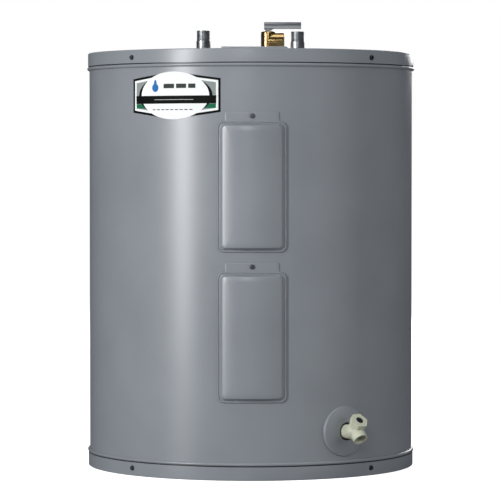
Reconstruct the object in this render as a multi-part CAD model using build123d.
"""Electric tank water heater, low model: a glass-lined steel tank in foam, inside a painted
steel jacket with two access panels, top pipe nipples, a relief valve and a drain valve.

Millimetres. The origin is the centre of the base, +Z is up, and the access panels face -Y.
Angles round the heater are measured from -Y towards +X.
"""
from build123d import *
import os
from math import asin, cos, pi, radians, sin, sqrt

# ---------------------------------------------------------------- driving dimensions
HEIGHT = 776.0            # base to the rim of the top pan
JACKET_R = 304.8          # 24 in outside diameter
JACKET_T = 0.8
PAN_R = 307.5             # both end pans slip over the jacket
PAN_T = 0.9
PAN_RIM = 24.5            # how far each pan comes down over the jacket
BEAD_R = 309.0            # rolled bead in the jacket beside each pan
BEAD_HALF = 3.0
BEAD_OFFSET = 4.7         # bead centre to pan edge
TOP_RECESS_R = 283.0      # the top pan is pressed down inside this radius
TOP_RECESS = 3.0
TANK_R = 254.0            # 20 in tank leaves 2 in of foam
TANK_T = 2.4
TANK_FOOT = 40.0
HEAD_Z = 672.0            # where the domed top head meets the shell
HEAD_RISE = 62.0
HEAD_KNUCKLE = 40.0
BOTTOM_SKIRT = 12.0
BOTTOM_RISE = 38.0
BOTTOM_KNUCKLE = 16.0
GAP = 0.3                 # clearance between parts that only lie beside each other

NIPPLE_CIRCLE = 91.2      # each pipe nipple from the centre line
NIPPLE_TURN = 12.0        # the line through the nipples, turned from the panels' face
NIPPLE_R = 13.335         # 3/4 in pipe
NIPPLE_BORE = 10.4
NIPPLE_TOP = 819.5
THREAD_LENGTH = 19.0
THREAD_R = 12.3

RELIEF_XY = (34.4, 62.0)
ANODE_XY = (-55.0, 110.0)
JUNCTION_XY = (5.0, -180.0)
PLUG_SPOTS = [(165.0, 95.0), (-165.0, 70.0)]

PANEL_CENTRES = {"upper": 528.6, "lower": 258.4}
PANEL_W = 124.8
PANEL_H = 236.0
PANEL_CROWN_R = 150.0
PANEL_FACE_Y = -317.8
PANEL_T = 0.9
PANEL_GAP = 0.35          # from the jacket to a panel's back
PAD_BACK = -290.5         # inner face of the pad behind a panel
TAB_W = 98.0
TAB_H = 15.6
TAB_SCREW = 8.2          # screw above the panel's crease
WINDOW_W = 98.0           # the hole in the jacket and foam behind a panel
WINDOW_H = 200.0

ELEMENT_DROP = 58.0       # element below the middle of its panel
ELEMENT_SPUD_FACE = -262.0
THERMOSTAT_RISE = 10.0    # thermostat centre above the middle of its panel

SCREW_ANGLES = [45.0, 135.0, 225.0, 315.0]
SCREW_Z = 14.2            # pan screw above the base, and below the top

LABEL_ANGLE = -27.7
LABEL_Z = 692.0
LABEL_HALF_W = 90.7       # half its width, measured round the jacket
LABEL_EDGE_H = 30.2
LABEL_PEAK_H = 42.6
LABEL_OVAL_W = 69.8
LABEL_OVAL_H = 42.9

DRAIN_ANGLE = 33.5
DRAIN_Z = 85.0
DRAIN_ROSE_R = 46.0
DRAIN_ROSE_RISE = 7.5

# Shared
TOP_PAN_Z = HEIGHT - TOP_RECESS
SPUD_R = 21.0             # threaded ring welded into the top head
SCREW_SHANK_R = 1.9
SCREW_HOLE_R = 2.1        # hole in sheet for a screw
SCREW_FOAM_R = 2.4        # room for a screw in the foam
ELEMENT_TERMINAL_X = 7.5
THERMOSTAT_TERMINAL_X = 15.0
THERMOSTAT_TERMINAL_Z = 15.0
LIMIT_TERMINAL_X = 17.0
LIMIT_TERMINAL_Z = 6.0

# Tank fittings
ELEMENT_SPUD_R = 27.0
ELEMENT_THREAD_R = 16.3
DRAIN_SPUD_R = 20.0
DRAIN_SHANK_R = 13.0

# Insulation
FOAM_R = JACKET_R - JACKET_T - GAP
FOAM_TOP = TOP_PAN_Z - PAN_T - GAP

# Top fittings
LINER_BORE = 7.4
DIP_R = 9.4
DIP_LOW = 150.0
TRAP_LOW = 770.0
ANODE_HOLE_R = 19.0
ANODE_HEX = 27.0
ANODE_ROD_R = 10.5
ANODE_ROD_LOW = 180.0
PLUG_R = 11.0
PLUG_DEPTH = 9.0

# Junction box
JUNCTION_SIZE = (96.0, 76.0)
JUNCTION_FLOOR = 737.0
JUNCTION_T = 1.0
COVER_SIZE = (121.0, 100.0)
COVER_TOP = 781.6
COVER_CORNER = 8.0        # wall taken with each corner of the cover
CONDUIT_R = 11.1          # 1/2 in knockout
CONDUIT_SHIFT = 26.0
COVER_SCREW_X = 54.0

# Relief valve
RELIEF_HEX = 32.0
RELIEF_HOLE_R = 21.0
RELIEF_BODY_R = 14.25
RELIEF_SEAT = 792.0
RELIEF_CAVITY_R = 10.5
RELIEF_JOIN = 806.0       # where the bonnet screws on
BONNET_SHOULDER = 817.0
BONNET_TOP = 822.0
OUTLET_Z = 803.0
OUTLET_R = 16.5
OUTLET_BORE = 12.1        # 3/4 in female pipe thread
OUTLET_REACH = 30.3
STEM_R = 3.0
CAM_LOW = 5.2             # lever pin above the bonnet with the lever down
CAM_LIFT = 3.0            # how far a raised lever lifts the stem
CAM_CLEARANCE = 0.15
PIN_Z = BONNET_TOP + CAM_LOW + CAM_CLEARANCE
PIN_R = 1.5
LEVER_W = 14.0
LEVER_T = 1.3
LEVER_TOP = 839.2
LEVER_SIDE_LOW = 826.8
LEVER_TIP = 62.5          # lever's free end from the pin
LEVER_HEEL = CAM_LOW + CAM_LIFT
DISC_T = 3.5

# Elements and controls
GASKET_T = 1.0
FLANGE_BACK = ELEMENT_SPUD_FACE - GASKET_T
FLANGE_FRONT = FLANGE_BACK - 8.0
TERMINAL_FRONT = FLANGE_FRONT - 9.0
SHEATH_R = 4.0
SHEATH_HALF = 9.0
SHEATH_END = 30.0
THERMOSTAT_W = 50.0
THERMOSTAT_H = 58.0
THERMOSTAT_BACK = -254.05
THERMOSTAT_FRONT = -275.0
DIAL_R = 10.0
DIAL_HUB_R = 4.0
DIAL_Z = -12.0
LIMIT_FRONT = -277.0
LIMIT_H = 34.0
BUTTON_R = 4.0
BUTTON_TRAVEL = 1.6

# Wiring
SLEEVE_R = 6.0
SLEEVE_T = 1.0
SLEEVE_Y = -279.0
SLEEVE_X = 31.0
SLEEVE_TURN_Z = 755.0
SLEEVE_BEND = 20.0
SLEEVE_END = 5.0          # how far a sleeve pokes out of the foam
WIRE_R = 1.3
WIRE_SPREAD = 2.2         # each wire from the sleeve's centre line

# Drain valve
ROSE_HOLE_R = 16.3
ROSE_T = 1.2
ROSE_KNUCKLE = 2.4
ROSE_SIDE = 0.8                # straight side above the jacket before the rose curves in
STEM_ORIGIN = (26.8, 3.9)      # outwards from the jacket, up
SPINDLE_TILT = 45.0
SPINDLE_FACE = 27.4
GLAND_FLATS = 29.0
GLAND_T = 11.0
CHAMBER_R = 8.6
CHAMBER_FLOOR = -2.0
WASHER_T = 3.0
SPINDLE_R = 5.0
SPINDLE_HEAD_R = 6.6
SPINDLE_SUNK = 0.3            # spindle head below the gland's face
HOSE_ORIGIN = (33.6, 3.9)
HOSE_REACH = 22.0
HOSE_R = 13.4                  # 3/4 in garden hose thread
HOSE_BORE = 10.3
HOSE_THREAD = 12.0

os.makedirs("parts", exist_ok=True)


# ---------------------------------------------------------------- helpers
def export(name, shape):
    """Writes one node."""
    export_step(shape, f"parts/{name}.step")


def lathe(*edges):
    """The solid swept by a closed outline, drawn in X and Z, once round the Z axis."""
    return revolve(make_face(list(edges)), Axis.Z, 360)


def lathe_points(points):
    """A lathe solid whose outline is straight between (radius, height) points."""
    return lathe(Polyline(*[(r, 0, z) for r, z in points], close=True))


def tube(outer, inner, low, high, x=0.0, y=0.0):
    """An upright tube, or a rod where inner is 0."""
    body = Pos(x, y, (low + high) / 2) * Cylinder(outer, high - low)
    if inner > 0:
        body -= Pos(x, y, (low + high) / 2) * Cylinder(inner, high - low + 2)
    return body


def block(x0, x1, y0, y1, z0, z1):
    """A box between two corners."""
    middle = Pos((x0 + x1) / 2, (y0 + y1) / 2, (z0 + z1) / 2)
    return middle * Box(x1 - x0, y1 - y0, z1 - z0)


def round_block(x0, x1, y0, y1, z0, z1, r):
    """A box whose four edges along Y are rounded."""
    body = block(x0, x1, y0, y1, z0, z1)
    return fillet(body.edges().filter_by(Axis.Y), r)


def radial(angle, radius, z):
    """A plane at a place on the side of the heater: local x runs to the right, y up, z outwards."""
    a = radians(angle)
    return Plane(
        origin=(radius * sin(a), -radius * cos(a), z),
        x_dir=(cos(a), sin(a), 0),
        z_dir=(sin(a), -cos(a), 0),
    )


def front_rod(x, z, r, y_back, y_front):
    """A rod along Y on the front of the heater, from y_back out to y_front."""
    middle = Pos(x, (y_back + y_front) / 2, z) * Rot(90, 0, 0)
    return middle * Cylinder(r, abs(y_front - y_back))


def front_hex(x, z, across_flats, y_back, y_front):
    """A hexagonal prism along Y."""
    sketch = RegularPolygon(across_flats / sqrt(3), 6)
    plane = Plane(origin=(x, y_back, z), x_dir=(1, 0, 0), z_dir=(0, -1, 0))
    return extrude(plane * sketch, abs(y_front - y_back))


def group(shapes):
    """Several separate solids under one node."""
    return Compound(children=[solid for shape in shapes for solid in shape.solids()])


def crown_radius(radius, rise, knuckle):
    """The large radius of a dished end that has this rise and this small corner radius."""
    reach = radius - knuckle
    return (reach**2 + rise**2 - knuckle**2) / (2 * (rise - knuckle))


def dished(radius, rise, knuckle, floor, foot):
    """A round solid with a dished end: straight sides from foot up to floor, then the dish."""
    reach = radius - knuckle
    crown = crown_radius(radius, rise, knuckle)
    lean = asin(reach / (crown - knuckle))
    middle = floor + rise - crown

    def on_crown(angle):
        return (crown * sin(angle), 0, middle + crown * cos(angle))

    def on_knuckle(angle):
        return (reach + knuckle * sin(angle), 0, floor + knuckle * cos(angle))

    return lathe(
        ThreePointArc(on_crown(0), on_crown(lean / 2), on_crown(lean)),
        ThreePointArc(on_crown(lean), on_knuckle((lean + pi / 2) / 2), (radius, 0, floor)),
        Polyline((radius, 0, floor), (radius, 0, foot), (0, 0, foot), on_crown(0)),
    )


def head_z(xy):
    """Height of the top head's outside under a point."""
    crown = crown_radius(TANK_R, HEAD_RISE, HEAD_KNUCKLE)
    return HEAD_Z + HEAD_RISE - crown + sqrt(crown**2 - xy[0] ** 2 - xy[1] ** 2)


turn = radians(NIPPLE_TURN)
COLD_XY = (NIPPLE_CIRCLE * cos(turn), NIPPLE_CIRCLE * sin(turn))
HOT_XY = (-COLD_XY[0], -COLD_XY[1])
TOP_PORTS = {"cold": COLD_XY, "hot": HOT_XY, "relief": RELIEF_XY, "anode": ANODE_XY}
SPUD_TOP = {name: round(head_z(xy), 1) + 10.0 for name, xy in TOP_PORTS.items()}
PORT_R = {"cold": NIPPLE_R, "hot": NIPPLE_R, "relief": 13.2, "anode": 12.8}


def screw_places(z, radius):
    """One plane for each of the four screws round a pan."""
    return [radial(angle, radius, z) for angle in SCREW_ANGLES]


# ---------------------------------------------------------------- jacket and pans
def jacket_profile(radius, bead_r, half, low, high, bead_low, bead_high):
    """One side of the jacket's wall, from its foot to its top, with a bead near each end."""
    edges = []
    z = low
    for bead in (bead_low, bead_high):
        edges.append(Line((radius, 0, z), (radius, 0, bead - half)))
        edges.append(
            ThreePointArc((radius, 0, bead - half), (bead_r, 0, bead), (radius, 0, bead + half))
        )
        z = bead + half
    edges.append(Line((radius, 0, z), (radius, 0, high)))
    return edges


def jacket():
    low, high = 1.2, HEIGHT - 2.0
    bead_low = PAN_RIM + BEAD_OFFSET
    bead_high = HEIGHT - PAN_RIM - BEAD_OFFSET
    inside = JACKET_R - JACKET_T
    outer = jacket_profile(JACKET_R, BEAD_R, BEAD_HALF, low, high, bead_low, bead_high)
    inner = jacket_profile(
        inside, BEAD_R - JACKET_T, BEAD_HALF - JACKET_T / 2, low, high, bead_low, bead_high
    )
    ends = [Line((inside, 0, z), (JACKET_R, 0, z)) for z in (low, high)]
    wall = lathe(*outer, *inner, *ends)
    for centre in PANEL_CENTRES.values():
        half = WINDOW_H / 2
        wall -= round_block(
            -WINDOW_W / 2, WINDOW_W / 2, -330, -270, centre - half, centre + half, 8
        )
        wall -= front_rod(0, centre + PANEL_H / 2 + TAB_SCREW, SCREW_HOLE_R, -290, -320)
    wall -= drain_plane(-30) * Cylinder(30, 100)
    for z in (SCREW_Z, HEIGHT - SCREW_Z):
        for place in screw_places(z, JACKET_R):
            wall -= place * Cylinder(SCREW_HOLE_R, 20)
    return wall + seam_strip(bead_low + 4, bead_high - 4)


def seam_strip(low, high, width=16.0, thickness=0.8):
    """The lapped edge of the jacket down the back."""
    ring = tube(JACKET_R + thickness, JACKET_R - 0.2, low, high)
    return ring & block(-width / 2, width / 2, 280, 330, low, high)


def top_pan():
    z = HEIGHT
    rim_low = HEIGHT - PAN_RIM
    inside = PAN_R - PAN_T
    shell = lathe_points(
        [
            (PAN_R, rim_low),
            (PAN_R, z),
            (TOP_RECESS_R + 6, z),
            (TOP_RECESS_R, TOP_PAN_Z),
            (0, TOP_PAN_Z),
            (0, TOP_PAN_Z - PAN_T),
            (TOP_RECESS_R + 0.5, TOP_PAN_Z - PAN_T),
            (TOP_RECESS_R + 6.5, z - PAN_T),
            (inside, z - PAN_T),
            (inside, rim_low),
        ]
    )
    rim_edge = shell.edges().filter_by(GeomType.CIRCLE).group_by(Axis.Z)[-1].sort_by(SortBy.RADIUS)
    shell = fillet(rim_edge[-1:], 2.2)
    for xy in (COLD_XY, HOT_XY):
        shell -= Pos(*xy, z) * Cylinder(NIPPLE_R + 2.5, 40)
    shell -= Pos(*RELIEF_XY, z) * Cylinder(RELIEF_HOLE_R, 40)
    shell -= Pos(*ANODE_XY, z) * Cylinder(ANODE_HOLE_R, 40)
    for xy in PLUG_SPOTS:
        shell -= Pos(*xy, z) * Cylinder(PLUG_R, 40)
    x, y = JUNCTION_XY
    half_x, half_y = JUNCTION_SIZE[0] / 2, JUNCTION_SIZE[1] / 2
    shell -= block(x - half_x, x + half_x, y - half_y, y + half_y, z - 20, z + 20)
    for side in (-1, 1):
        shell -= Pos(x + side * COVER_SCREW_X, y, z) * Cylinder(SCREW_HOLE_R, 20)
    for place in screw_places(z - SCREW_Z, PAN_R):
        shell -= place * Cylinder(SCREW_HOLE_R, 20)
    return shell


def base_pan():
    inside = PAN_R - PAN_T
    shell = lathe_points(
        [(0, 0), (PAN_R, 0), (PAN_R, PAN_RIM), (inside, PAN_RIM), (inside, PAN_T), (0, PAN_T)]
    )
    foot = shell.edges().filter_by(GeomType.CIRCLE).group_by(Axis.Z)[0].sort_by(SortBy.RADIUS)
    shell = fillet(foot[-1:], 1.5)
    for place in screw_places(SCREW_Z, PAN_R):
        shell -= place * Cylinder(SCREW_HOLE_R, 20)
    return shell


def pan_screw(place):
    """A hexagon-head sheet screw: flange, hexagon and shank, pointing inwards."""
    flange = place * Pos(0, 0, 0.5) * Cylinder(4.6, 0.8)
    head = extrude(place * Pos(0, 0, 0.9) * RegularPolygon(6.35 / sqrt(3), 6), 2.4)
    shank = place * Pos(0, 0, -4.8) * Cylinder(SCREW_SHANK_R, 9.9)
    return flange + head + shank


def pan_screws():
    places = [*screw_places(SCREW_Z, PAN_R), *screw_places(HEIGHT - SCREW_Z, PAN_R)]
    return group([pan_screw(place) for place in places])


# ---------------------------------------------------------------- tank
def dome(grow):
    """The solid under the top head, thicker or thinner by grow."""
    return dished(TANK_R + grow, HEAD_RISE + grow, HEAD_KNUCKLE + grow, HEAD_Z, HEAD_Z - 10)


def tank_shell():
    shell = tube(TANK_R, TANK_R - TANK_T, TANK_FOOT, HEAD_Z)
    for centre in PANEL_CENTRES.values():
        shell -= front_rod(0, centre - ELEMENT_DROP, ELEMENT_SPUD_R, -230, -270)
    return shell - drain_plane(TANK_R - JACKET_R) * Cylinder(DRAIN_SPUD_R, 40)


def tank_top_head():
    head = dome(0) - dome(-TANK_T) - tube(TANK_R + 5, 0, HEAD_Z - 20, HEAD_Z)
    for xy in TOP_PORTS.values():
        head -= Pos(*xy, HEAD_Z + 40) * Cylinder(SPUD_R, 80)
    return head


def tank_bottom_head():
    """Pressed upwards, with a skirt that stands inside the shell."""
    radius, floor = TANK_R - TANK_T, TANK_FOOT + BOTTOM_SKIRT
    outer = dished(radius, BOTTOM_RISE, BOTTOM_KNUCKLE, floor, TANK_FOOT)
    inner = dished(
        radius - TANK_T, BOTTOM_RISE - TANK_T, BOTTOM_KNUCKLE - TANK_T, floor, TANK_FOOT - 5
    )
    return outer - inner


def drain_plane(outwards=0.0):
    """At the drain valve, a distance outwards from the jacket's face."""
    return radial(DRAIN_ANGLE, JACKET_R + outwards, DRAIN_Z)


def tank_spuds():
    """The threaded rings welded into the tank: four on top, two for elements, one drain."""
    rings = []
    for name, xy in TOP_PORTS.items():
        rings.append(tube(SPUD_R, PORT_R[name], SPUD_TOP[name] - 24, SPUD_TOP[name], *xy))
    for centre in PANEL_CENTRES.values():
        z = centre - ELEMENT_DROP
        ring = front_rod(0, z, ELEMENT_SPUD_R, -246, ELEMENT_SPUD_FACE)
        rings.append(ring - front_rod(0, z, ELEMENT_THREAD_R, -230, -280))
    at = drain_plane(TANK_R - JACKET_R + 4)
    rings.append(at * Cylinder(DRAIN_SPUD_R, 22) - at * Cylinder(DRAIN_SHANK_R, 40))
    return group(rings)


# ---------------------------------------------------------------- insulation


def foam_insulation():
    foam = tube(FOAM_R, 0, TANK_FOOT + GAP, FOAM_TOP)
    foam -= tube(TANK_R + GAP, 0, TANK_FOOT - 5, HEAD_Z)
    foam -= dome(GAP)
    for name, xy in TOP_PORTS.items():
        foam -= tube(SPUD_R + GAP, 0, HEAD_Z, SPUD_TOP[name] + GAP, *xy)
    for xy in (COLD_XY, HOT_XY):
        foam -= tube(NIPPLE_R + GAP, 0, HEAD_Z, HEIGHT, *xy)
    foam -= tube(RELIEF_HEX / sqrt(3) + 1, 0, HEAD_Z, HEIGHT, *RELIEF_XY)
    foam -= tube(ANODE_HOLE_R, 0, HEAD_Z, HEIGHT, *ANODE_XY)
    for xy in PLUG_SPOTS:
        foam -= tube(PLUG_R + GAP, 0, FOAM_TOP - PLUG_DEPTH, HEIGHT, *xy)
    x, y = JUNCTION_XY
    half_x, half_y = JUNCTION_SIZE[0] / 2 + GAP, JUNCTION_SIZE[1] / 2 + GAP
    foam -= block(
        x - half_x, x + half_x, y - half_y, y + half_y, JUNCTION_FLOOR - GAP, HEIGHT
    )
    for centre in PANEL_CENTRES.values():
        half = WINDOW_H / 2
        foam -= block(-WINDOW_W / 2, WINDOW_W / 2, -330, -200, centre - half, centre + half)
        foam -= front_rod(0, centre + PANEL_H / 2 + TAB_SCREW, SCREW_FOAM_R, -285, -320)
    foam -= drain_plane(-30) * Cylinder(22, 100)
    for place in screw_places(HEIGHT - SCREW_Z, JACKET_R):
        foam -= place * Cylinder(SCREW_FOAM_R, 24)
    for side in (-1, 1):
        foam -= tube(2.3, 0, TOP_PAN_Z - 5, HEIGHT, x + side * COVER_SCREW_X, y)
    for rod in sleeve_space(GAP):
        foam -= rod
    return foam_lumps(foam)


def foam_lumps(foam):
    """The poured foam as simple lumps that meet face to face: level bands, with each band beside
    a compartment cut in two halves, and four lumps round the junction box."""
    reach = JACKET_R + 10
    box_low = JUNCTION_FLOOR - GAP
    windows = [(PANEL_CENTRES[s] - WINDOW_H / 2, PANEL_CENTRES[s] + WINDOW_H / 2) for s in PANEL_CENTRES]
    (upper_low, upper_top), (lower_low, lower_top) = windows
    cuts = []
    for low, high in ((TANK_FOOT, lower_low), (lower_top, upper_low), (upper_top, box_low)):
        cuts.append(block(-reach, reach, -reach, reach, low, high))
    for low, high in windows:
        cuts.append(block(-reach, 0, -reach, reach, low, high))
        cuts.append(block(0, reach, -reach, reach, low, high))
    x, y = JUNCTION_XY
    left, right = x - JUNCTION_SIZE[0] / 2 - GAP, x + JUNCTION_SIZE[0] / 2 + GAP
    front, back = y - JUNCTION_SIZE[1] / 2 - GAP, y + JUNCTION_SIZE[1] / 2 + GAP
    cuts.append(block(-reach, reach, -reach, front, box_low, HEIGHT))
    cuts.append(block(-reach, reach, back, reach, box_low, HEIGHT))
    cuts.append(block(-reach, left, front, back, box_low, HEIGHT))
    cuts.append(block(right, reach, front, back, box_low, HEIGHT))
    return group([foam & cut for cut in cuts])


def base_insulation():
    """The foam disc that the tank stands on."""
    disc = tube(FOAM_R, 0, PAN_T + GAP, TANK_FOOT)
    for place in screw_places(SCREW_Z, JACKET_R):
        disc -= place * Cylinder(SCREW_FOAM_R, 24)
    return disc


# ---------------------------------------------------------------- top fittings
def pipe_nipple(xy, name):
    """A steel nipple that stands in its spud and comes up through the top pan. The end that
    takes the pipe is drawn plain, at the middle radius of its thread."""
    low = SPUD_TOP[name] - 18
    thread_low = NIPPLE_TOP - THREAD_LENGTH
    body = tube(NIPPLE_R, NIPPLE_BORE, low, thread_low, *xy)
    return body + tube(THREAD_R, NIPPLE_BORE, thread_low, NIPPLE_TOP, *xy)


def heat_trap(xy, low):
    """A plastic sleeve pressed into the nipple, with a flat lip on the nipple's end."""
    sleeve = tube(NIPPLE_BORE - 0.05, LINER_BORE, low, NIPPLE_TOP - 1.0, *xy)
    web = tube(NIPPLE_BORE - 0.05, 0, low + 8, low + 9.2, *xy)
    window = Pos(xy[0], xy[1] - 3.5, low + 8.6) * Box(16, 7, 4)
    return sleeve + (web - window)


def dip_tube():
    return tube(DIP_R, DIP_R - 1.4, DIP_LOW, TRAP_LOW - GAP, *COLD_XY)


def anode_plug():
    top = SPUD_TOP["anode"]
    thread = tube(PORT_R["anode"], 0, top - 20, top, *ANODE_XY)
    hexagon = extrude(Pos(*ANODE_XY, top) * RegularPolygon(ANODE_HEX / sqrt(3), 6), 11)
    return thread + hexagon


def anode_rod():
    return tube(ANODE_ROD_R, 0, ANODE_ROD_LOW, SPUD_TOP["anode"] - 20, *ANODE_XY)


def hole_plug(xy, r, depth, lip=3.0, lip_t=2.0):
    """A push-in plastic plug: a thin lip on the pan and a hollow skirt through it."""
    cap = tube(r + lip, 0, TOP_PAN_Z, TOP_PAN_Z + lip_t, *xy)
    cap = fillet(cap.edges().group_by(Axis.Z)[-1], 0.8)
    return cap + tube(r - 0.1, r - 1.8, TOP_PAN_Z - depth, TOP_PAN_Z, *xy)


# ---------------------------------------------------------------- junction box


def junction_box():
    """An open steel box let into the foam under the cover."""
    x, y = JUNCTION_XY
    half_x, half_y = JUNCTION_SIZE[0] / 2 - 0.1, JUNCTION_SIZE[1] / 2 - 0.1
    top = TOP_PAN_Z - PAN_T
    box = block(x - half_x, x + half_x, y - half_y, y + half_y, JUNCTION_FLOOR, top)
    t = JUNCTION_T
    box -= block(
        x - half_x + t, x + half_x - t, y - half_y + t, y + half_y - t, JUNCTION_FLOOR + t, HEIGHT
    )
    return box - front_rod(SLEEVE_X, SLEEVE_TURN_Z, SLEEVE_R + 0.2, y - half_y + 5, y - half_y - 5)


def junction_cover():
    """A shallow lid: its plate, four walls and two screw posts meet face to face."""
    x, y = JUNCTION_XY
    w, d = COVER_SIZE
    height = COVER_TOP - TOP_PAN_Z
    outer = Pos(x, y, TOP_PAN_Z + height / 2) * Box(w, d, height)
    outer = fillet(outer.edges().filter_by(Axis.Z), 6)
    outer = fillet(outer.edges().group_by(Axis.Z)[-1], 2)
    inner = Pos(x, y, TOP_PAN_Z + height / 2 - 1) * Box(w - 2, d - 2, height)
    inner = fillet(inner.edges().filter_by(Axis.Z), 5)
    shell = outer - inner
    plate_low = COVER_TOP - 1
    plate = shell & block(x - w, x + w, y - d, y + d, plate_low, COVER_TOP + 1)
    plate -= Pos(x + CONDUIT_SHIFT, y, COVER_TOP) * Cylinder(CONDUIT_R, 10)
    walls = shell & block(x - w, x + w, y - d, y + d, TOP_PAN_Z - 1, plate_low)
    side_x = w / 2 - COVER_CORNER
    cuts = [block(x + side_x, x + w, y - d, y + d, TOP_PAN_Z - 1, plate_low)]
    cuts.append(block(x - w, x - side_x, y - d, y + d, TOP_PAN_Z - 1, plate_low))
    cuts.append(block(x - side_x, x + side_x, y - d, y, TOP_PAN_Z - 1, plate_low))
    cuts.append(block(x - side_x, x + side_x, y, y + d, TOP_PAN_Z - 1, plate_low))
    posts = []
    for side in (-1, 1):
        screw_x = x + side * COVER_SCREW_X
        plate -= Pos(screw_x, y, COVER_TOP) * Cylinder(SCREW_HOLE_R, 30)
        posts.append(tube(4, SCREW_HOLE_R, TOP_PAN_Z, plate_low, screw_x, y))
    return group([plate, *posts, *[walls & cut for cut in cuts]])


def junction_cover_screws():
    x, y = JUNCTION_XY
    screws = []
    for side in (-1, 1):
        xy = (x + side * COVER_SCREW_X, y)
        head = tube(4, 0, COVER_TOP, COVER_TOP + 2, *xy)
        head = fillet(head.edges().group_by(Axis.Z)[-1], 1.2)
        head -= Pos(*xy, COVER_TOP + 1.6) * Box(6, 1.1, 1.2)
        screws.append(head + tube(SCREW_SHANK_R, 0, TOP_PAN_Z - 4, COVER_TOP, *xy))
    return group(screws)


def ground_screw():
    x, y = JUNCTION_XY
    xy = (x - 34, y + 24)
    floor = JUNCTION_FLOOR + JUNCTION_T
    head = extrude(Pos(*xy, floor) * RegularPolygon(8 / sqrt(3), 6), 3.5)
    return head - Pos(*xy, floor + 3.2) * Box(7, 1.2, 1.2)


# ---------------------------------------------------------------- relief valve


def relief_valve_body():
    """Brass body: inlet shank, wrench hexagon, barrel and side outlet."""
    x, y = RELIEF_XY
    shank_low = SPUD_TOP["relief"] - 18
    hex_low, hex_high = TOP_PAN_Z - 1, TOP_PAN_Z + 11
    body = tube(PORT_R["relief"], 0, shank_low, hex_low, x, y)
    body += extrude(
        Pos(x, y, hex_low) * RegularPolygon(RELIEF_HEX / sqrt(3), 6), hex_high - hex_low
    )
    body += tube(RELIEF_BODY_R, 0, hex_high, RELIEF_JOIN, x, y)
    outlet = Plane(origin=(x, y, OUTLET_Z), x_dir=(0, 1, 0), z_dir=(1, 0, 0))
    boss = extrude(outlet * Circle(OUTLET_R), OUTLET_REACH)
    boss = fillet(boss.edges().group_by(Axis.X)[-1], 1.0)
    body += boss - tube(RELIEF_BODY_R + 0.4, 0, RELIEF_JOIN, OUTLET_Z + OUTLET_R + 2, x, y)
    body -= tube(8.0, 0, shank_low - 1, RELIEF_SEAT, x, y)
    body -= tube(RELIEF_CAVITY_R, 0, RELIEF_SEAT, RELIEF_JOIN + 1, x, y)
    bore_start = RELIEF_BODY_R + 1.6
    body -= outlet * Pos(0, 0, bore_start + 20) * Cylinder(OUTLET_BORE, 40)
    return body - outlet * Pos(0, -2.5, bore_start / 2) * Cylinder(5.0, bore_start + 4)


def relief_valve_bonnet():
    """Brass cap over the spring, with a flat top that the lever's cam stands on."""
    x, y = RELIEF_XY
    cap = tube(RELIEF_BODY_R, 0, RELIEF_JOIN, BONNET_TOP, x, y)
    rim = cap.edges().filter_by(GeomType.CIRCLE).group_by(Axis.Z)[-1]
    cap = fillet(rim, 4.0)
    cap -= tube(RELIEF_CAVITY_R, 0, RELIEF_JOIN - 1, BONNET_SHOULDER, x, y)
    return cap - tube(STEM_R + 0.08, 0, RELIEF_JOIN, BONNET_TOP + 1, x, y)


def relief_valve_stem():
    x, y = RELIEF_XY
    stem = tube(STEM_R, 0, RELIEF_SEAT + DISC_T, PIN_Z + 4, x, y)
    stem = chamfer(stem.edges().group_by(Axis.Z)[-1], 0.6)
    return stem - Pos(x, y, PIN_Z) * Rot(90, 0, 0) * Cylinder(PIN_R, 20)


def relief_valve_disc():
    """The seat washer under the stem."""
    x, y = RELIEF_XY
    return tube(9.6, 0, RELIEF_SEAT + 0.02, RELIEF_SEAT + DISC_T, x, y)


def relief_lever_pin():
    x, y = RELIEF_XY
    return Pos(x, y, PIN_Z) * Rot(90, 0, 0) * Cylinder(PIN_R, LEVER_W + 2)


def relief_valve_spring(coil_r=6.6, wire_r=0.9, turns=4.0):
    x, y = RELIEF_XY
    low, high = RELIEF_SEAT + DISC_T + wire_r + 0.1, BONNET_SHOULDER - wire_r - 0.1
    path = Helix(pitch=(high - low) / turns, height=high - low, radius=coil_r, center=(x, y, low))
    section = Plane(origin=path @ 0, z_dir=path % 0) * Circle(wire_r)
    return sweep(section, path=path, is_frenet=True)


def relief_valve_probe():
    """The temperature probe, held in the shank by a spoked collar."""
    x, y = RELIEF_XY
    top = RELIEF_SEAT - 3
    probe = tube(3.2, 0, 650.0, top, x, y)
    arm = Pos(x, y, top - 8)
    probe += arm * Box(15.8, 2, 4) + arm * Box(2, 15.8, 4)
    return probe


def cam_profile():
    """Side view of the lever about its pin. From the point under the pin to the heel the cam is
    the involute whose distance to a flat grows evenly with the angle turned, so the lever's
    angle and the stem's lift keep one ratio."""
    k = CAM_LIFT / (pi / 2)
    steps = 9
    curve = []
    for i in range(steps + 1):
        a = (pi / 2) * i / steps
        p = CAM_LOW + k * a
        curve.append((-p * sin(a) - k * cos(a), -p * cos(a) + k * sin(a)))
    side_low, top = LEVER_SIDE_LOW - PIN_Z, LEVER_TOP - PIN_Z
    outline = Polyline(
        (-LEVER_HEEL, curve[-1][1]),
        (-LEVER_HEEL, top),
        (LEVER_TIP, top),
        (LEVER_TIP, side_low),
        (9.5, side_low),
        (3.2, -CAM_LOW),
        curve[0],
    )
    return make_face([outline, Spline(*curve)])


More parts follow.
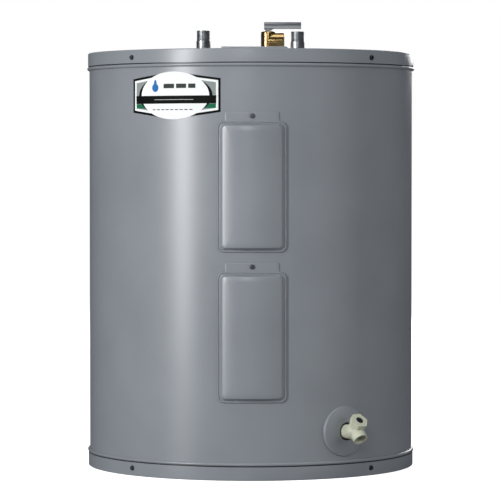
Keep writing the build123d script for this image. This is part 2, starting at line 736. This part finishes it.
def relief_valve_lever():
    """A pressed channel: a web on top, two sides, and a cam ear low on each side."""
    x, y = RELIEF_XY
    at = Plane(origin=(x, y, PIN_Z), x_dir=(1, 0, 0), z_dir=(0, -1, 0))
    solid = extrude(at * cam_profile(), LEVER_W / 2, both=True)
    half = LEVER_W / 2 - LEVER_T
    hollow = block(
        x - LEVER_HEEL - 1, x + LEVER_TIP + 1, y - half, y + half, BONNET_TOP - 5, LEVER_TOP - LEVER_T
    )
    lever = solid - hollow
    crests = lever.edges().filter_by(Axis.X).group_by(Axis.Z)[-1]
    lever = fillet(crests, 1.0)
    return lever - Pos(x, y, PIN_Z) * Rot(90, 0, 0) * Cylinder(PIN_R + 0.05, 30)


# ---------------------------------------------------------------- heating elements and controls


def element_flange(z):
    """Hexagon head and threaded stub."""
    head = front_hex(0, z, 38.1, FLANGE_BACK, FLANGE_FRONT)
    return head + front_rod(0, z, ELEMENT_THREAD_R - 0.1, -246, FLANGE_BACK)


def element_sheath(z):
    """The folded rod inside the tank."""
    start = -246.0
    low, high = (0, start, z - SHEATH_HALF), (0, start, z + SHEATH_HALF)
    turn_y = SHEATH_END - SHEATH_HALF
    path = Wire(
        [
            Edge.make_line(low, (0, turn_y, z - SHEATH_HALF)),
            Edge.make_three_point_arc(
                (0, turn_y, z - SHEATH_HALF), (0, SHEATH_END, z), (0, turn_y, z + SHEATH_HALF)
            ),
            Edge.make_line((0, turn_y, z + SHEATH_HALF), high),
        ]
    )
    section = Plane(origin=low, z_dir=(0, 1, 0)) * Circle(SHEATH_R)
    return sweep(section, path=path)


def element_terminals(z):
    """The moulded terminal block and its two screws are one insert."""
    base = front_rod(0, z, 15.0, FLANGE_FRONT, TERMINAL_FRONT)
    base = fillet(base.edges().group_by(Axis.Y)[0], 1.0)
    barrier = block(-1, 1, TERMINAL_FRONT - 4, TERMINAL_FRONT + 1, z - 13, z + 13)
    return base + barrier


def terminal_screw(x, z, y_face, r=3.6):
    head = front_rod(x, z, r, y_face, y_face - 2.6)
    return head - block(x - r, x + r, y_face - 3, y_face - 1.8, z - 0.5, z + 0.5)


def thermostat_centre(side):
    return PANEL_CENTRES[side] + THERMOSTAT_RISE


def limit_centre():
    """Height of the middle of the safety cut-out."""
    return thermostat_centre("upper") + THERMOSTAT_H / 2 + 1 + LIMIT_H / 2


def thermostat(side):
    z = thermostat_centre(side)
    half_w, half_h = THERMOSTAT_W / 2, THERMOSTAT_H / 2
    body = round_block(
        -half_w, half_w, THERMOSTAT_FRONT, THERMOSTAT_BACK, z - half_h, z + half_h, 3
    )
    body -= front_rod(0, z + DIAL_Z, DIAL_HUB_R + 0.08, -262, -280)
    for x in (-15, 15):
        body += block(x - 6, x + 6, THERMOSTAT_FRONT - 2, THERMOSTAT_FRONT + 1, z + 8, z + 22)
    return body


def thermostat_dial(side):
    z = thermostat_centre(side) + DIAL_Z
    hub = front_rod(0, z, DIAL_HUB_R, -264, THERMOSTAT_FRONT - 0.2)
    disc = front_rod(0, z, DIAL_R, THERMOSTAT_FRONT - 0.2, THERMOSTAT_FRONT - 3.4)
    slot = block(-6.5, 6.5, THERMOSTAT_FRONT - 4, THERMOSTAT_FRONT - 2, z - 0.8, z + 0.8)
    pointer = block(-0.8, 0.8, THERMOSTAT_FRONT - 3, THERMOSTAT_FRONT - 0.2, z + DIAL_R - 1, z + DIAL_R + 3)
    return hub + disc - slot + pointer


def high_limit_switch():
    """The safety cut-out above the upper thermostat."""
    low = thermostat_centre("upper") + THERMOSTAT_H / 2 + 1
    half_w = THERMOSTAT_W / 2
    body = round_block(-half_w, half_w, LIMIT_FRONT, THERMOSTAT_BACK, low, low + LIMIT_H, 3)
    z = low + LIMIT_H / 2
    body -= front_rod(0, z, BUTTON_R + 0.08, -262, -290)
    for x in (-17, 17):
        body += block(x - 5, x + 5, LIMIT_FRONT - 2, LIMIT_FRONT + 1, z - 11, z + 11)
    return body


def reset_button():
    button = front_rod(0, limit_centre(), BUTTON_R, -264, LIMIT_FRONT - 4)
    return fillet(button.edges().group_by(Axis.Y)[0], 0.8)


def thermostat_bracket(side):
    """A spring plate: a ring under the element's head, and two arms that clip the thermostat."""
    z = PANEL_CENTRES[side] - ELEMENT_DROP
    centre = thermostat_centre(side)
    back, front = ELEMENT_SPUD_FACE + 6.0, ELEMENT_SPUD_FACE + 4.8
    ring = front_rod(0, z, 33.0, back, front) - front_rod(0, z, ELEMENT_SPUD_R + 0.2, -240, -280)
    parts = ring
    inner = THERMOSTAT_W / 2 + 0.3
    for side_sign in (-1, 1):
        x0, x1 = sorted((side_sign * inner, side_sign * (inner + 1.2)))
        reach = THERMOSTAT_FRONT - 1.3
        parts += block(x0, x1, reach, back, z + 10, centre + 4)
        t0, t1 = sorted((side_sign * (inner - 5), side_sign * (inner + 1.2)))
        parts += block(t0, t1, reach, THERMOSTAT_FRONT - 0.1, centre - 8, centre + 4)
    return parts


# ---------------------------------------------------------------- wiring


def bent_rod(stops, r, bends):
    """A round rod through the stops, with one bend radius for each inner stop."""
    path = FilletPolyline(*stops, radius=bends)
    section = Plane(origin=path @ 0, z_dir=path % 0) * Circle(r)
    return sweep(section, path=path)


def sleeve_stops(grow=0.0):
    """The centre lines of the two sleeves: box to upper compartment, and upper to lower."""
    upper_top = PANEL_CENTRES["upper"] + WINDOW_H / 2
    upper_low = PANEL_CENTRES["upper"] - WINDOW_H / 2
    lower_top = PANEL_CENTRES["lower"] + WINDOW_H / 2
    box_wall = JUNCTION_XY[1] - JUNCTION_SIZE[1] / 2
    x, y, end = SLEEVE_X, SLEEVE_Y, SLEEVE_END + grow
    return [
        (
            [(x, box_wall + end, SLEEVE_TURN_Z), (x, y, SLEEVE_TURN_Z), (x, y, upper_top - end)],
            [SLEEVE_BEND],
        ),
        ([(x, y, upper_low + end), (x, y, lower_top - end)], []),
    ]


def sleeve_space(extra):
    """The room that both sleeves take."""
    rods = []
    for stops, bends in sleeve_stops():
        if bends:
            rods.append(bent_rod(stops, SLEEVE_R + extra, bends))
        else:
            rods.append(tube(SLEEVE_R + extra, 0, stops[1][2], stops[0][2], *stops[0][:2]))
    return rods


def wire_runs():
    """Stops and bends of each wire, from end to end."""
    x, near, far = SLEEVE_X, SLEEVE_Y + WIRE_SPREAD, SLEEVE_Y - WIRE_SPREAD
    limit, clock, terminal = LIMIT_FRONT - 3.4, THERMOSTAT_FRONT - 3.4, TERMINAL_FRONT - 1.4
    limit_z = limit_centre()
    clear = 3.8
    runs = []
    feeds = [(17, near, SLEEVE_TURN_Z - WIRE_SPREAD, 612.0, 606.0, 18.0)]
    feeds.append((-17, far, SLEEVE_TURN_Z + WIRE_SPREAD, 615.0, 611.0, 22.0))
    for end_x, y, turn_z, leave_z, side_z, bend in feeds:
        stops = [(x - 12, JUNCTION_XY[1] - 4, turn_z), (x, -214, turn_z)]
        stops += [(x, y, turn_z), (x, y, leave_z)]
        stops += [(end_x, limit, side_z), (end_x, limit, limit_z + 6 + clear)]
        runs.append((stops, [12, bend - 0.1, 3, 3]))
        side = end_x / abs(end_x)
        down = thermostat_centre("upper") + 15 + clear
        stops = [(side * 17, limit, limit_z - 6 - clear), (side * 17, limit, limit_z - 15)]
        runs.append((stops + [(side * 15, clock, down + 6), (side * 15, clock, down)], [2, 2]))
    for panel, centre in PANEL_CENTRES.items():
        screw_z = thermostat_centre(panel) + 15 - clear
        element_z = centre - ELEMENT_DROP + clear
        for side in (-1, 1):
            stops = [(side * 15, clock, screw_z), (side * 15, clock, screw_z - 6)]
            stops += [(side * 36, SLEEVE_Y, screw_z - 9), (side * 36, SLEEVE_Y, element_z + 26)]
            stops += [(side * 7.5, terminal, element_z + 14), (side * 7.5, terminal, element_z)]
            runs.append((stops, [3, 4, 5, 4]))
    start = PANEL_CENTRES["upper"] - ELEMENT_DROP - clear
    end = thermostat_centre("lower") + 15 + clear
    low_top = PANEL_CENTRES["lower"] + WINDOW_H / 2
    for side, y, first, cross, leave in ((-1, far, 15.0, 27.0, 10.0), (1, near, 10.0, 22.0, 20.0)):
        stops = [(side * 7.5, terminal, start), (side * 7.5, terminal, start - first)]
        stops += [(x, y, start - cross), (x, y, low_top - leave)]
        stops += [(side * 15, clock, low_top - leave - 18), (side * 15, clock, end)]
        runs.append((stops, [4, 5, 5, 4]))
    return runs


def wiring_harness():
    """Two plastic sleeves in the foam and the wires that run through them."""
    sleeves = []
    for stops, bends in sleeve_stops():
        if bends:
            bore = bent_rod(stops, SLEEVE_R - SLEEVE_T, bends)
            sleeves.append(bent_rod(stops, SLEEVE_R, bends) - bore)
        else:
            low, high = stops[1][2], stops[0][2]
            sleeves.append(tube(SLEEVE_R, SLEEVE_R - SLEEVE_T, low, high, *stops[0][:2]))
    wires = [bent_rod(stops, WIRE_R, bends) for stops, bends in wire_runs()]
    return group(sleeves + wires)


# ---------------------------------------------------------------- access panels
def panel_pan(inset, face_y):
    """The dished middle of a panel, tapered on four sides and crowned in front."""
    near, far = -299.0, -320.0
    wide_near, high_near = 120.0 - 2 * inset, 240.0 - 2 * inset
    wide_far, high_far = 88.8 - 2 * inset, 214.2 - 2 * inset
    base = Plane(origin=(0, near, 0), x_dir=(1, 0, 0), z_dir=(0, -1, 0))
    front = Plane(origin=(0, far, 0), x_dir=(1, 0, 0), z_dir=(0, -1, 0))
    body = loft(
        [
            base * RectangleRounded(wide_near, high_near, 10 - inset),
            front * RectangleRounded(wide_far, high_far, 5 - inset / 2),
        ]
    )
    crown = Pos(0, face_y + PANEL_CROWN_R, 0) * Cylinder(PANEL_CROWN_R, 400)
    return body & crown


def access_panel(side):
    """A pressed steel cover that lies on the jacket, with a screw tab at its top."""
    lie = JACKET_R + PANEL_GAP
    dish = panel_pan(0, PANEL_FACE_Y)
    hollow = panel_pan(PANEL_T, PANEL_FACE_Y + PANEL_T)
    sheet = tube(lie + PANEL_T, 0, -200, 200)
    outline = round_block(
        -PANEL_W / 2, PANEL_W / 2, -330, -280, -PANEL_H / 2, PANEL_H / 2, 12
    )
    tab_low = PANEL_H / 2 - 20
    outline += round_block(
        -TAB_W / 2, TAB_W / 2, -330, -280, tab_low, PANEL_H / 2 + TAB_H, 7
    )
    panel = (sheet & outline) + dish
    panel -= hollow
    panel -= tube(lie, 0, -200, 200)
    panel -= front_rod(0, PANEL_H / 2 + TAB_SCREW, SCREW_HOLE_R, -290, -320)
    return Pos(0, 0, PANEL_CENTRES[side]) * panel


def panel_insulation(side):
    """The fibre pad stuck inside a panel."""
    z = PANEL_CENTRES[side]
    w, h = WINDOW_W - 5, WINDOW_H - 8
    pad = round_block(-w / 2, w / 2, PANEL_FACE_Y, PAD_BACK, z - h / 2, z + h / 2, 5)
    crown_y = PANEL_FACE_Y + PANEL_T + 0.05 + PANEL_CROWN_R
    crown = Pos(0, crown_y, z) * Cylinder(PANEL_CROWN_R, 400)
    return pad & crown


def panel_screw(side):
    z = PANEL_CENTRES[side] + PANEL_H / 2 + TAB_SCREW
    face = -(JACKET_R + PANEL_GAP + PANEL_T)
    head = front_rod(0, z, 4.4, face, face - 2.4)
    head = fillet(head.edges().group_by(Axis.Y)[0], 1.0)
    head -= block(-3.4, 3.4, face - 3, face - 1.4, z - 0.5, z + 0.5)
    head -= block(-0.5, 0.5, face - 3, face - 1.4, z - 3.4, z + 3.4)
    return head + front_rod(0, z, SCREW_SHANK_R, face + 9, face)


# ---------------------------------------------------------------- label
def front_label(thickness=0.25):
    """A sticker: an oval over a low six-sided plate."""
    flat_half = JACKET_R * sin(LABEL_HALF_W / JACKET_R)
    flat_oval = JACKET_R * sin(LABEL_OVAL_W / JACKET_R)
    corners = [(-flat_half, LABEL_EDGE_H), (0, LABEL_PEAK_H), (flat_half, LABEL_EDGE_H)]
    corners += [(-x, -y) for x, y in corners]
    shape = make_face(Polyline(*corners, close=True)) + Ellipse(flat_oval, LABEL_OVAL_H)
    column = extrude(radial(LABEL_ANGLE, JACKET_R - 60, LABEL_Z) * shape, 100)
    low, high = LABEL_Z - 60, LABEL_Z + 60
    return column & tube(JACKET_R + 0.02 + thickness, JACKET_R + 0.02, low, high)


# ---------------------------------------------------------------- drain valve


def drain_escutcheon():
    """A shallow domed rose that covers the hole in the jacket."""
    outer = dished(DRAIN_ROSE_R, DRAIN_ROSE_RISE, ROSE_KNUCKLE, ROSE_SIDE, -8)
    inner = dished(
        DRAIN_ROSE_R - ROSE_T, DRAIN_ROSE_RISE - ROSE_T, ROSE_KNUCKLE - ROSE_T, ROSE_SIDE, -9
    )
    rose = drain_plane() * (outer - inner - Cylinder(ROSE_HOLE_R, 60))
    return rose - tube(JACKET_R + 0.1, 0, DRAIN_Z - 80, DRAIN_Z + 80)


def tilted_plane(origin, tilt, along):
    """A plane by the drain: origin is (outwards, up), local z is tilted up from straight out."""
    up, out = sin(radians(tilt)), cos(radians(tilt))
    place = Plane(
        origin=(0, origin[1] + along * up, origin[0] + along * out), x_dir=(1, 0, 0), z_dir=(0, up, out)
    )
    return drain_plane() * place


def spindle_plane(along=0.0):
    """On the spindle's axis, tilted up from the drain's axis; local z points out."""
    return tilted_plane(STEM_ORIGIN, SPINDLE_TILT, along)


def hose_plane(along=0.0):
    """On the hose outlet's axis, tilted down; local z points out of the outlet."""
    return tilted_plane(HOSE_ORIGIN, -SPINDLE_TILT, along)


def along_cylinder(plane, r, low, high):
    """A rod on a plane's normal, from low to high along it."""
    return plane * Pos(0, 0, (low + high) / 2) * Cylinder(r, high - low)


def drain_valve_body():
    axis = drain_plane()
    shank_low = TANK_R - JACKET_R - 6
    body = along_cylinder(axis, DRAIN_SHANK_R - 0.02, shank_low, 26)
    body += axis * Pos(0, 2.3, 28.2) * Sphere(14.2)
    body += along_cylinder(spindle_plane(), 12.6, 0, SPINDLE_FACE - GLAND_T)
    body += along_cylinder(hose_plane(), 11.6, -4, HOSE_REACH - HOSE_THREAD)
    body += along_cylinder(hose_plane(), HOSE_R, HOSE_REACH - HOSE_THREAD, HOSE_REACH)
    body -= along_cylinder(axis, 7.8, shank_low - 2, 17)
    body -= along_cylinder(spindle_plane(), 5.2, -16, 0)
    body -= along_cylinder(spindle_plane(), CHAMBER_R, CHAMBER_FLOOR, SPINDLE_FACE + 2)
    body -= along_cylinder(hose_plane(), 8.4, 2, HOSE_REACH)
    return body - along_cylinder(hose_plane(), HOSE_BORE, 9, HOSE_REACH + 2)


def drain_valve_gland():
    """The hexagon cap that closes the spindle chamber."""
    low = SPINDLE_FACE - GLAND_T + 0.05
    cap = extrude(spindle_plane(low) * RegularPolygon(GLAND_FLATS / sqrt(3), 6), GLAND_T)
    round_limit = along_cylinder(spindle_plane(), GLAND_FLATS / 2 + 1.6, low, SPINDLE_FACE + 0.05)
    cap = cap & round_limit
    cap += along_cylinder(spindle_plane(), CHAMBER_R - 0.05, low - 4, low)
    cap -= along_cylinder(spindle_plane(), SPINDLE_R + 0.08, low - 6, SPINDLE_FACE)
    return cap - along_cylinder(spindle_plane(), SPINDLE_HEAD_R + 0.3, SPINDLE_FACE - 7, SPINDLE_FACE + 2)


def drain_valve_washer():
    floor = CHAMBER_FLOOR + 0.02
    return along_cylinder(spindle_plane(), CHAMBER_R - 0.5, floor, floor + WASHER_T)


def drain_valve_stem():
    low = CHAMBER_FLOOR + WASHER_T + 0.06
    stem = along_cylinder(spindle_plane(), SPINDLE_R, low, SPINDLE_FACE - 6)
    stem += along_cylinder(spindle_plane(), SPINDLE_HEAD_R, SPINDLE_FACE - 6.5, SPINDLE_FACE - SPINDLE_SUNK)
    return stem - spindle_plane(SPINDLE_FACE - SPINDLE_SUNK) * Box(14, 1.8, 4)


# ---------------------------------------------------------------- make and write every node
def build():
    export("jacket", jacket())
    export("top_pan", top_pan())
    export("base_pan", base_pan())
    export("pan_screws", pan_screws())
    export("tank_shell", tank_shell())
    export("tank_top_head", tank_top_head())
    export("tank_bottom_head", tank_bottom_head())
    export("tank_spuds", tank_spuds())
    export("foam_insulation", foam_insulation())
    export("base_insulation", base_insulation())

    export("cold_inlet_nipple", pipe_nipple(COLD_XY, "cold"))
    export("hot_outlet_nipple", pipe_nipple(HOT_XY, "hot"))
    export("cold_heat_trap", heat_trap(COLD_XY, TRAP_LOW))
    export("hot_heat_trap", heat_trap(HOT_XY, TRAP_LOW))
    export("dip_tube", dip_tube())
    export("anode_plug", anode_plug())
    export("anode_rod", anode_rod())
    export("anode_cap", hole_plug(ANODE_XY, ANODE_HOLE_R, 12))
    plugs = [hole_plug(xy, PLUG_R, PLUG_DEPTH) for xy in PLUG_SPOTS]
    export("foam_fill_plugs", group(plugs))

    export("junction_box", junction_box())
    export("junction_cover", junction_cover())
    export("junction_cover_screws", junction_cover_screws())
    export("ground_screw", ground_screw())

    export("relief_valve_body", relief_valve_body())
    export("relief_valve_bonnet", relief_valve_bonnet())
    export("relief_valve_stem", relief_valve_stem())
    export("relief_valve_disc", relief_valve_disc())
    export("relief_lever_pin", relief_lever_pin())
    export("relief_valve_spring", relief_valve_spring())
    export("relief_valve_probe", relief_valve_probe())
    export("relief_valve_lever", relief_valve_lever())

    gaskets, screws = [], []
    for side, centre in PANEL_CENTRES.items():
        z = centre - ELEMENT_DROP
        export(f"{side}_element_flange", element_flange(z))
        export(f"{side}_element_sheath", element_sheath(z))
        export(f"{side}_element_terminals", element_terminals(z))
        export(f"{side}_thermostat", thermostat(side))
        export(f"{side}_thermostat_dial", thermostat_dial(side))
        export(f"{side}_access_panel", access_panel(side))
        export(f"{side}_panel_insulation", panel_insulation(side))
        export(f"{side}_panel_screw", panel_screw(side))
        gasket = front_rod(0, z, 23, ELEMENT_SPUD_FACE, FLANGE_BACK)
        gaskets.append(gasket - front_rod(0, z, ELEMENT_THREAD_R, -240, -290))
        for x in (-ELEMENT_TERMINAL_X, ELEMENT_TERMINAL_X):
            screws.append(terminal_screw(x, z, TERMINAL_FRONT))
        terminal_z = thermostat_centre(side) + THERMOSTAT_TERMINAL_Z
        for x in (-THERMOSTAT_TERMINAL_X, THERMOSTAT_TERMINAL_X):
            screws.append(terminal_screw(x, terminal_z, THERMOSTAT_FRONT - 2))
    for x in (-LIMIT_TERMINAL_X, LIMIT_TERMINAL_X):
        for dz in (-LIMIT_TERMINAL_Z, LIMIT_TERMINAL_Z):
            screws.append(terminal_screw(x, limit_centre() + dz, LIMIT_FRONT - 2))
    export("element_gaskets", group(gaskets))
    export("terminal_screws", group(screws))
    export("wiring_harness", wiring_harness())
    export("thermostat_brackets", group([thermostat_bracket(s) for s in PANEL_CENTRES]))
    export("high_limit_switch", high_limit_switch())
    export("reset_button", reset_button())

    export("front_label", front_label())
    export("drain_escutcheon", drain_escutcheon())
    export("drain_valve_body", drain_valve_body())
    export("drain_valve_gland", drain_valve_gland())
    export("drain_valve_washer", drain_valve_washer())
    export("drain_valve_stem", drain_valve_stem())


build()
